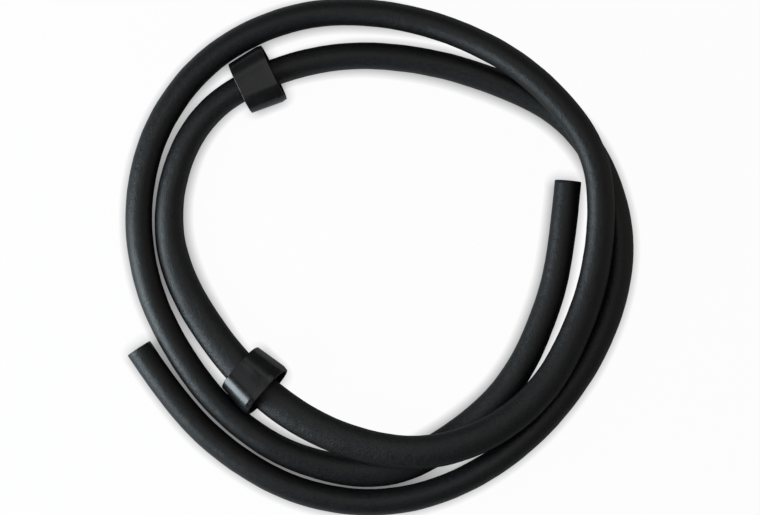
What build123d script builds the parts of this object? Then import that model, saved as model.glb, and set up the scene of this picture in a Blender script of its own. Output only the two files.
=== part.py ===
"""Soaker hose: one length of porous rubber hose lying in a loose coil, with two
slide-on end rings. Millimetres, +Z up, the coil rests on the plane Z = 0."""
from build123d import *
from math import acos, cos, pi, radians, sin, sqrt, tan
import os

os.makedirs("parts", exist_ok=True)

# ---------------------------------------------------------------- hose sizes
HOSE_OD = 16.0          # outside diameter where the hose is round
HOSE_WALL = 3.0         # rubber wall, the same all the way round
BEND_SHARE = 0.45       # share of the shorter neighbouring run that a bend takes up

# ---------------------------------------------------------------- end ring sizes
RING_LENGTH = 22.5      # along the hose
RING_WALL = 1.5
RING_ROOM = 1.2         # clearance above and below a hose inside the ring
FOLD_ROOM = 0.4         # the ring is two hose thicknesses wide outside, and this much more
FLARE_WIDTH = 2.0       # the mouth stands out this much at each side, so a fold can enter
FLARE_HEIGHT = 1.0      # and this much above and below
TAIL_WIDTH = 2 * HOSE_OD + FOLD_ROOM
TAIL_HEIGHT = HOSE_OD + 2 * (RING_ROOM + RING_WALL)
LIP_WIDTH = TAIL_WIDTH + 2 * FLARE_WIDTH
LIP_HEIGHT = TAIL_HEIGHT + 2 * FLARE_HEIGHT
LIP_LENGTH = 3.2        # turned-in lip at the mouth
LIP_DROP = 0.5          # how far the lip turns in
WAIST = 0.35            # how far the long sides dip in at the middle
RIM_ROUND = 0.45        # rounding of both rims
CREASE_ROUND = 0.8      # rounding where the lip begins

# Corner points of the hose's centre line, from end A to end B:
# (x, y, height of the centre line, how much wider than round the hose is pressed there).
ROUTE = [
    (-145.0, -54.5, 8.0, 0.0),    # end A
    (-122.5, -88.5, 8.0, 0.0),
    (-89.5, -120.0, 8.0, 0.0),
    (-47.0, -143.0, 8.0, 0.0),
    (5.0, -149.5, 8.0, 0.0),      # outermost turn, bottom
    (57.0, -133.0, 8.0, 0.0),
    (101.5, -98.0, 8.0, 0.0),
    (134.0, -49.5, 8.0, 0.0),
    (147.6, 4.5, 8.0, 0.0),       # outermost turn, right
    (135.5, 53.5, 8.0, 0.0),
    (110.5, 86.5, 8.0, 0.0),      # passes under the top turn
    (72.0, 105.5, 8.0, 0.0),
    (27.0, 119.0, 8.6, 0.0),
    (-24.0, 122.5, 9.8, 0.0),
    (-74.5, 108.5, 12.0, 0.0),    # end ring 1 hangs here
    (-112.0, 81.5, 9.6, 0.0),
    (-129.5, 32.5, 8.2, 0.5),
    (-122.0, -16.5, 6.2, 3.5),    # pressed flat from here on
    (-78.5, -76.5, 11.2, 4.5),     # end ring 2 hangs here
    (-26.5, -110.0, 16.0, 4.0),
    (35.0, -119.5, 19.8, 4.0),    # rides over the strand of end B
    (93.5, -89.0, 18.0, 2.5),
    (124.0, -31.5, 17.0, 1.5),
    (133.0, 21.5, 21.0, 0.5),
    (127.0, 67.5, 25.0, 0.0),     # rides over the outermost turn
    (89.5, 110.5, 23.5, 0.0),
    (45.0, 136.0, 14.0, 0.0),
    (-5.0, 148.5, 10.0, 0.0),     # top turn
    (-54.5, 145.5, 9.4, 0.0),
    (-103.0, 121.5, 9.0, 0.0),
    (-135.0, 80.0, 8.4, 0.0),
    (-147.0, 31.5, 8.0, 0.0),     # outermost turn, left
    (-141.0, -17.0, 8.0, 0.0),
    (-121.0, -58.5, 8.0, 0.0),
    (-94.0, -93.5, 8.1, 0.0),
    (-54.0, -121.5, 7.8, 1.0),
    (2.5, -132.5, 6.8, 3.5),      # pressed flat under the strand that rides over it
    (49.0, -107.5, 6.6, 3.5),
    (82.0, -74.0, 8.2, 0.8),
    (103.0, -25.5, 8.3, 0.0),
    (110.0, 13.0, 8.3, 0.0),
    (113.0, 46.0, 8.3, 0.0),      # end B
]

# Where each end ring sits: centre, turn about Z, nose-up tilt of the mouth.
RING_1_AT = (-73.6, 106.1, 11.6)
RING_1_TURN = 25.5
RING_1_TILT = 3.5
RING_2_AT = (-75.5, -73.2, 12.8)
RING_2_TURN = -41.0
RING_2_TILT = 11.0


def flat_height(width):
    """Height of the hose where it is pressed to this width, rim length unchanged."""
    a = width / 2
    low, high = 1.0, HOSE_OD / 2
    for _ in range(50):
        b = (low + high) / 2
        rim = pi * (3 * (a + b) - sqrt((3 * a + b) * (a + 3 * b)))
        if rim < pi * HOSE_OD:
            low = b
        else:
            high = b
    return 2 * high


corners = [Vector(x, y, z) for x, y, z, pressed in ROUTE]
runs = [(b - a).length for a, b in zip(corners, corners[1:])]
radii, cuts, turns = [], [], []
for i in range(1, len(corners) - 1):
    one = (corners[i] - corners[i - 1]).normalized()
    two = (corners[i + 1] - corners[i]).normalized()
    turns.append(acos(max(-1.0, min(1.0, one.dot(two)))))
    cuts.append(BEND_SHARE * min(runs[i - 1], runs[i]))
    radii.append(cuts[-1] / tan(turns[-1] / 2))
print("arc radii:", " ".join(f"{r:.0f}" for r in radii))

# ---------------------------------------------------------------- hose
with BuildLine() as route:
    FilletPolyline(*corners, radius=radii)
line = route.wires()[0]

# A section across the hose at each end and at the middle of each bend:
# how far along the hose it stands, and how wide the hose is there.
stations = [(0.0, HOSE_OD + ROUTE[0][3])]
travelled, last_cut = 0.0, 0.0
for i, (cut, radius, turn) in enumerate(zip(cuts, radii, turns)):
    travelled += runs[i] - last_cut - cut + radius * turn / 2
    stations.append((travelled, HOSE_OD + ROUTE[i + 1][3]))
    travelled += radius * turn / 2
    last_cut = cut
stations.append((line.length, HOSE_OD + ROUTE[-1][3]))
print("length of the hose %.0f mm" % line.length)


def across(distance):
    """Plane square to the hose at this distance from end A, its X lying level."""
    share = min(1.0, distance / line.length)
    ahead = line.tangent_at(share)
    level = Vector(-ahead.Y, ahead.X, 0).normalized()
    return Plane(origin=line.position_at(share), x_dir=level, z_dir=ahead)


def ovals(inset):
    """Faces across the hose, each smaller than the outside by the inset."""
    faces = []
    for distance, width in stations:
        with BuildSketch(across(distance)) as face:
            Ellipse(width / 2 - inset, flat_height(width) / 2 - inset)
        faces.append(face.sketch.faces()[0])
    return faces


with BuildPart() as hose:
    sweep(sections=ovals(0), path=line, multisection=True)
    sweep(sections=ovals(HOSE_WALL), path=line, multisection=True, mode=Mode.SUBTRACT)
hose.part.label = "hose"
export_step(hose.part, "parts/hose.step")


# ---------------------------------------------------------------- end rings
def loop(along, width, height):
    """Face across the ring: two round lobes joined by long sides that dip in."""
    lobe, dip = height / 2, height / 2 - WAIST
    reach = width / 2 - lobe
    side = (reach ** 2 + dip ** 2 - lobe ** 2) / (2 * WAIST)
    x = reach * side / (lobe + side)
    y = lobe * sqrt((lobe + side) ** 2 - reach ** 2) / (lobe + side)
    with BuildSketch(Plane.YZ.offset(along)) as face:
        with BuildLine():
            ThreePointArc((x, y), (0, dip), (-x, y))
            ThreePointArc((-x, y), (-width / 2, 0), (-x, -y))
            ThreePointArc((-x, -y), (0, -dip), (x, -y))
            ThreePointArc((x, -y), (width / 2, 0), (x, y))
        make_face()
    return face.sketch.faces()[0]


def end_ring(at, turn, tilt):
    """One end ring, its tail towards -X and its mouth towards +X before it is turned."""
    tail, lip, mouth = -RING_LENGTH / 2, RING_LENGTH / 2 - LIP_LENGTH, RING_LENGTH / 2
    with BuildPart() as ring:
        loft([loop(tail, TAIL_WIDTH, TAIL_HEIGHT), loop(lip, LIP_WIDTH, LIP_HEIGHT)])
        loft([loop(lip, LIP_WIDTH, LIP_HEIGHT),
              loop(mouth, LIP_WIDTH - 2 * LIP_DROP, LIP_HEIGHT - 2 * LIP_DROP)])
        crease = [e for e in ring.edges() if abs(e.center().X - lip) < 0.05]
        fillet(crease, CREASE_ROUND)
        loft([loop(tail, TAIL_WIDTH - 2 * RING_WALL, TAIL_HEIGHT - 2 * RING_WALL),
              loop(mouth, LIP_WIDTH - 2 * RING_WALL - 2 * LIP_DROP,
                   LIP_HEIGHT - 2 * RING_WALL - 2 * LIP_DROP)], mode=Mode.SUBTRACT)
        rims = [e for e in ring.edges() if abs(abs(e.center().X) - RING_LENGTH / 2) < 0.02]
        fillet(rims, RIM_ROUND)
    a, b = radians(turn), radians(tilt)
    seat = Plane(origin=at, x_dir=(cos(a) * cos(b), sin(a) * cos(b), sin(b)),
                 z_dir=(-cos(a) * sin(b), -sin(a) * sin(b), cos(b)))
    return ring.part.moved(seat.location)


with BuildPart() as end_ring_1:
    add(end_ring(RING_1_AT, RING_1_TURN, RING_1_TILT))
end_ring_1.part.label = "end_ring_1"
export_step(end_ring_1.part, "parts/end_ring_1.step")

with BuildPart() as end_ring_2:
    add(end_ring(RING_2_AT, RING_2_TURN, RING_2_TILT))
end_ring_2.part.label = "end_ring_2"
export_step(end_ring_2.part, "parts/end_ring_2.step")
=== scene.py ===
"""Soaker hose in a loose coil with two slide-on end rings, on a white floor.

Metres, +Z up. The hose follows the same corner points as its CAD solid; the rings
are the CAD solids themselves, with a moulded plastic material.
"""
import math

import bmesh
import bpy
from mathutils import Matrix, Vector, noise


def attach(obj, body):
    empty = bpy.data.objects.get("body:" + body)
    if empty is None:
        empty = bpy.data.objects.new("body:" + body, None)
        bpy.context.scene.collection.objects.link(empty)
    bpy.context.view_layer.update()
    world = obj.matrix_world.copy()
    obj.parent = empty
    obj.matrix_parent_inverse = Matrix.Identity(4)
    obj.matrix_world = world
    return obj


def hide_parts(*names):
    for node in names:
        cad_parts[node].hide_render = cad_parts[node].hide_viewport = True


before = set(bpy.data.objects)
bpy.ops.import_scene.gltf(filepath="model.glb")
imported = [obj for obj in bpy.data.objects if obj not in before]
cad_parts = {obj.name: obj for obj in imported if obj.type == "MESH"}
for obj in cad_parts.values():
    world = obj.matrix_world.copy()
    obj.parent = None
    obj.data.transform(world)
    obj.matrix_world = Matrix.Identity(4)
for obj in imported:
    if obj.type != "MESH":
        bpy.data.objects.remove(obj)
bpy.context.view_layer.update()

MM = 0.001
HOSE_OD = 0.016
HOSE_WALL = 0.003

# ---------------------------------------------------------------- camera
CAMERA_HEIGHT = 1.0867
camera_data = bpy.data.cameras.new("camera")
camera_data.lens = 85
camera_data.sensor_width = 36
camera = bpy.data.objects.new("camera", camera_data)
camera.location = (0.0, 0.0, CAMERA_HEIGHT)
bpy.context.scene.collection.objects.link(camera)
bpy.context.scene.camera = camera

# ---------------------------------------------------------------- hose route
# (x, y, height of the centre line, extra width where the hose is pressed), millimetres.
ROUTE = [
    (-145.0, -54.5, 8.0, 0.0),    # end A
    (-122.5, -88.5, 8.0, 0.0),
    (-89.5, -120.0, 8.0, 0.0),
    (-47.0, -143.0, 8.0, 0.0),
    (5.0, -149.5, 8.0, 0.0),      # outermost turn, bottom
    (57.0, -133.0, 8.0, 0.0),
    (101.5, -98.0, 8.0, 0.0),
    (134.0, -49.5, 8.0, 0.0),
    (147.6, 4.5, 8.0, 0.0),       # outermost turn, right
    (135.5, 53.5, 8.0, 0.0),
    (110.5, 86.5, 8.0, 0.0),      # passes under the top turn
    (72.0, 105.5, 8.0, 0.0),
    (27.0, 119.0, 8.6, 0.0),
    (-24.0, 122.5, 9.8, 0.0),
    (-74.5, 108.5, 12.0, 0.0),    # end ring 1 hangs here
    (-112.0, 81.5, 9.6, 0.0),
    (-129.5, 32.5, 8.2, 0.5),
    (-122.0, -16.5, 6.2, 3.5),    # pressed flat from here on
    (-78.5, -76.5, 11.2, 4.5),     # end ring 2 hangs here
    (-26.5, -110.0, 16.4, 4.0),
    (35.0, -119.5, 21.4, 4.0),    # rides over the strand of end B
    (93.5, -89.0, 18.4, 2.5),
    (124.0, -31.5, 17.0, 1.5),
    (133.0, 21.5, 21.0, 0.5),
    (127.0, 67.5, 25.6, 0.0),     # rides over the outermost turn
    (89.5, 110.5, 23.5, 0.0),
    (45.0, 136.0, 14.0, 0.0),
    (-5.0, 148.5, 10.0, 0.0),     # top turn
    (-54.5, 145.5, 9.4, 0.0),
    (-103.0, 121.5, 9.0, 0.0),
    (-135.0, 80.0, 8.4, 0.0),
    (-147.0, 31.5, 8.0, 0.0),     # outermost turn, left
    (-141.0, -17.0, 8.0, 0.0),
    (-121.0, -58.5, 8.0, 0.0),
    (-94.0, -93.5, 8.1, 0.0),
    (-54.0, -121.5, 7.8, 1.0),
    (2.5, -132.5, 6.8, 3.5),      # pressed flat under the strand that rides over it
    (49.0, -107.5, 6.6, 3.5),
    (82.0, -74.0, 8.2, 0.8),
    (103.0, -25.5, 8.3, 0.0),
    (110.0, 13.0, 8.3, 0.0),
    (113.0, 46.0, 8.3, 0.0),      # end B
]

LINE_STEPS = 30         # points of the line for each control point
AROUND = 60             # points around the outside of the hose
AROUND_BORE = 20
END_CHAMFER = 0.00025   # the cut edge is a little worn
END_STEP = 0.0003       # and this is how far along the hose the wear reaches
WAVE_HEIGHT = 0.00013   # the extruded surface is never quite even
WAVE_SCALE = 95.0
CRUMB_HEIGHT = 0.00007  # rubber crumb standing in the surface
CRUMB_SCALE = 520.0


def line_points(name, controls):
    """Points along the NURBS spline with these control points."""
    curve = bpy.data.curves.new(name, "CURVE")
    curve.dimensions = "3D"
    curve.resolution_u = LINE_STEPS
    spline = curve.splines.new("NURBS")
    spline.points.add(len(controls) - 1)
    for point, control in zip(spline.points, controls):
        point.co = (*control, 1.0)
    spline.order_u = 3
    spline.use_endpoint_u = True
    holder = bpy.data.objects.new(name, curve)
    mesh = bpy.data.meshes.new_from_object(holder)
    points = [vertex.co.copy() for vertex in mesh.vertices]
    bpy.data.meshes.remove(mesh)
    bpy.data.objects.remove(holder)
    bpy.data.curves.remove(curve)
    return points


def flat_height(width):
    """Height of the hose where it is pressed to this width, rim length unchanged."""
    low, high = width / 8, width / 2
    for _ in range(30):
        half = (low + high) / 2
        a = width / 2
        rim = math.pi * (3 * (a + half) - math.sqrt((3 * a + half) * (a + 3 * half)))
        if rim > math.pi * HOSE_OD:
            high = half
        else:
            low = half
    return 2 * low


def section(point, along, half_width, half_height, count):
    """Points of an oval across the hose, its width level."""
    side = Vector((along.y, -along.x, 0.0)).normalized()
    up = side.cross(along)
    for i in range(count):
        angle = 2 * math.pi * i / count
        yield point + side * (half_width * math.cos(angle)) + up * (half_height * math.sin(angle))


def uneven(corner, centre):
    """Move a surface point out or in by the unevenness of the rubber."""
    outward = (corner - centre).normalized()
    wave = noise.noise(corner * WAVE_SCALE) * WAVE_HEIGHT
    crumb = noise.noise(corner * CRUMB_SCALE) * CRUMB_HEIGHT
    return corner + outward * (wave + crumb)


def bridge(bm, rings):
    """Faces between each ring of points and the next."""
    for one, two in zip(rings, rings[1:]):
        for i in range(len(one)):
            j = (i + 1) % len(one)
            bm.faces.new((one[i], one[j], two[j], two[i]))


def join_ends(bm, outer, inner, facing_back):
    """Close the cut end between the outside and the bore."""
    step = len(outer) // len(inner)
    for i, corner in enumerate(inner):
        after = inner[(i + 1) % len(inner)]
        fan = [outer[(i * step + k) % len(outer)] for k in range(step + 1)]
        face = [corner, *fan, after]
        bm.faces.new(face if facing_back else face[::-1])


def hose_mesh(line, widths):
    """The hose with its open bore, along the line."""
    bm = bmesh.new()
    outer, inner = [], []
    last = len(line) - 1
    for i, (point, width) in enumerate(zip(line, widths)):
        along = (line[min(i + 1, last)] - line[max(i - 1, 0)]).normalized()
        half_width, half_height = width / 2, flat_height(width) / 2
        inset = END_CHAMFER if i in (0, last) else 0.0
        ring = section(point, along, half_width - inset, half_height - inset, AROUND)
        outer.append([bm.verts.new(uneven(corner, point)) for corner in ring])
        bore = section(point, along, half_width - HOSE_WALL, half_height - HOSE_WALL, AROUND_BORE)
        inner.append([bm.verts.new(corner) for corner in bore])
    bridge(bm, outer)
    bridge(bm, [ring[::-1] for ring in inner])
    join_ends(bm, outer[0], inner[0], True)
    join_ends(bm, outer[-1], inner[-1], False)
    bmesh.ops.recalc_face_normals(bm, faces=bm.faces[:])
    mesh = bpy.data.meshes.new("soaker_hose")
    bm.to_mesh(mesh)
    bm.free()
    for face in mesh.polygons:
        face.use_smooth = len(face.vertices) == 4
    return mesh


line = line_points("route", [(x * MM, y * MM, z * MM) for x, y, z, pressed in ROUTE])
# a second spline of the same kind carries the extra widths, as its y values
spread = line_points("widths", [(i * MM, pressed * MM, 0.0)
                                for i, (x, y, z, pressed) in enumerate(ROUTE)])
widths = [HOSE_OD + point.y for point in spread]
# one more station close to each end, so that only the cut edge is rounded
line.insert(1, line[0] + (line[1] - line[0]).normalized() * END_STEP)
widths.insert(1, widths[0])
line.insert(-1, line[-1] + (line[-2] - line[-1]).normalized() * END_STEP)
widths.insert(-1, widths[-1])

hose = bpy.data.objects.new("soaker_hose", hose_mesh(line, widths))
bpy.context.scene.collection.objects.link(hose)
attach(hose, "hose")
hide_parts("hose")


# ---------------------------------------------------------------- materials
FLOOR_GLOW = 0.97       # share of the floor's look that is its own white


class Nodes:
    """A short way to add and join shader nodes."""

    def __init__(self, name):
        self.material = bpy.data.materials.new(name)
        self.material.use_nodes = True
        self.tree = self.material.node_tree
        self.tree.nodes.clear()

    def add(self, kind, **inputs):
        node = self.tree.nodes.new(kind)
        for key, value in inputs.items():
            self.put(node.inputs[key.replace("_", " ")], value)
        return node

    def put(self, socket, value):
        if isinstance(value, bpy.types.NodeSocket):
            self.tree.links.new(value, socket)
        else:
            socket.default_value = value

    def span(self, value, low, high, from_low=0.0, from_high=1.0):
        node = self.add("ShaderNodeMapRange", Value=value, From_Min=from_low, From_Max=from_high,
                        To_Min=low, To_Max=high)
        return node.outputs["Result"]

    def mix(self, factor, one, two):
        node = self.tree.nodes.new("ShaderNodeMix")
        node.data_type = "RGBA"
        self.put(node.inputs[0], factor)
        self.put(node.inputs[6], one)
        self.put(node.inputs[7], two)
        return node.outputs[2]

    def noise(self, place, scale, detail=4.0, rough=0.6):
        node = self.add("ShaderNodeTexNoise", Vector=place, Scale=scale, Detail=detail, Roughness=rough)
        return node.outputs["Fac"]

    def bump(self, height, strength, distance, normal=None):
        node = self.add("ShaderNodeBump", Height=height, Strength=strength, Distance=distance)
        if normal is not None:
            self.put(node.inputs["Normal"], normal)
        return node.outputs["Normal"]

    def end(self, shader):
        out = self.add("ShaderNodeOutputMaterial")
        self.tree.links.new(shader, out.inputs["Surface"])
        return self.material


def porous_rubber():
    n = Nodes("porous_rubber")
    place = n.add("ShaderNodeTexCoord").outputs["Object"]
    grain = n.noise(place, 950.0, 6.0, 0.7)
    clumps = n.noise(place, 260.0, 3.0, 0.55)
    cloud = n.noise(place, 28.0, 3.0, 0.5)
    pores = n.add("ShaderNodeTexVoronoi", Vector=place, Scale=780.0).outputs["Distance"]
    speck = n.span(grain, 0.0, 1.0, 0.42, 0.68)
    body = n.mix(speck, (0.0030, 0.0031, 0.0034, 1.0), (0.0135, 0.0138, 0.0145, 1.0))
    dusty = n.span(cloud, 0.0, 0.25, 0.45, 0.7)
    colour = n.mix(dusty, body, (0.012, 0.0115, 0.011, 1.0))
    pits = n.span(pores, 0.0, 1.0, 0.08, 0.34)
    normal = n.bump(pits, 0.30, 0.00022)
    normal = n.bump(grain, 0.55, 0.00032, normal)
    normal = n.bump(clumps, 0.45, 0.00045, normal)
    shader = n.add("ShaderNodeBsdfPrincipled", Base_Color=colour,
                   Roughness=n.span(grain, 0.40, 0.58, 0.35, 0.7), Normal=normal)
    shader.inputs["Specular IOR Level"].default_value = 0.5
    return n.end(shader.outputs["BSDF"])


def moulded_plastic():
    n = Nodes("moulded_plastic")
    place = n.add("ShaderNodeTexCoord").outputs["Object"]
    skin = n.noise(place, 420.0, 3.0, 0.5)
    scuffs = n.noise(place, 60.0, 5.0, 0.65)
    colour = n.mix(n.span(scuffs, 0.0, 1.0, 0.4, 0.7),
                   (0.0035, 0.0035, 0.004, 1.0), (0.008, 0.008, 0.0085, 1.0))
    normal = n.bump(skin, 0.12, 0.00015)
    shader = n.add("ShaderNodeBsdfPrincipled", Base_Color=colour,
                   Roughness=n.span(scuffs, 0.20, 0.36, 0.35, 0.7), Normal=normal)
    shader.inputs["Specular IOR Level"].default_value = 0.55
    return n.end(shader.outputs["BSDF"])


def white_floor():
    """Pale floor that the camera sees as white, with painted shade (ambient occlusion dims its glow)
    where the hose lies close over it.
    """
    n = Nodes("white_floor")
    # painted shade: ambient occlusion sets the strength of the floor's white glow, so it darkens beside
    # and under the hose
    painted_shade = n.add("ShaderNodeAmbientOcclusion", Distance=0.008).outputs["AO"]
    glow_with_painted_shade = n.add("ShaderNodeEmission", Color=(1.0, 1.0, 1.0, 1.0), Strength=painted_shade)
    matt = n.add("ShaderNodeBsdfDiffuse", Color=(0.8, 0.8, 0.8, 1.0))
    rays = n.add("ShaderNodeLightPath")
    share = n.add("ShaderNodeMath")
    share.operation = "MULTIPLY"
    n.put(share.inputs[0], rays.outputs["Is Camera Ray"])
    n.put(share.inputs[1], FLOOR_GLOW)
    both = n.tree.nodes.new("ShaderNodeMixShader")
    n.put(both.inputs[0], share.outputs[0])
    n.put(both.inputs[1], matt.outputs[0])
    n.put(both.inputs[2], glow_with_painted_shade.outputs[0])
    return n.end(both.outputs[0])


hose.data.materials.append(porous_rubber())
plastic = moulded_plastic()
for name in ("end_ring_1", "end_ring_2"):
    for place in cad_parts[name].material_slots:
        place.material = plastic

# ---------------------------------------------------------------- floor and light
FLOOR_HALF = 3.0
FLOOR_Z = -0.0002
floor_mesh = bpy.data.meshes.new("floor")
floor_mesh.from_pydata([(x * FLOOR_HALF, y * FLOOR_HALF, FLOOR_Z)
                        for x, y in ((-1, -1), (1, -1), (1, 1), (-1, 1))], [], [(0, 1, 2, 3)])
floor = bpy.data.objects.new("floor", floor_mesh)
floor_mesh.materials.append(white_floor())
bpy.context.scene.collection.objects.link(floor)


def lamp(name, place, size, power, colour):
    """A square soft light that faces the origin."""
    data = bpy.data.lights.new(name, "AREA")
    data.size = size
    data.energy = power
    data.color = colour
    item = bpy.data.objects.new(name, data)
    item.location = place
    item.rotation_euler = (-Vector(place)).to_track_quat("-Z", "Y").to_euler()
    bpy.context.scene.collection.objects.link(item)


lamp("key_left", (-0.66, -0.20, 0.27), 0.42, 5.6, (0.80, 0.93, 1.0))
lamp("top_soft", (-0.15, 0.35, 1.70), 1.2, 3.0, (1.0, 0.985, 0.96))
lamp("fill_right", (1.10, 0.10, 0.60), 0.8, 0.6, (1.0, 0.88, 0.76))

world = bpy.data.worlds.new("studio")
world.use_nodes = True
world.node_tree.nodes["Background"].inputs["Color"].default_value = (1.0, 1.0, 1.0, 1.0)
world.node_tree.nodes["Background"].inputs["Strength"].default_value = 0.12
bpy.context.scene.world = world
bpy.context.scene.view_settings.view_transform = "Standard"
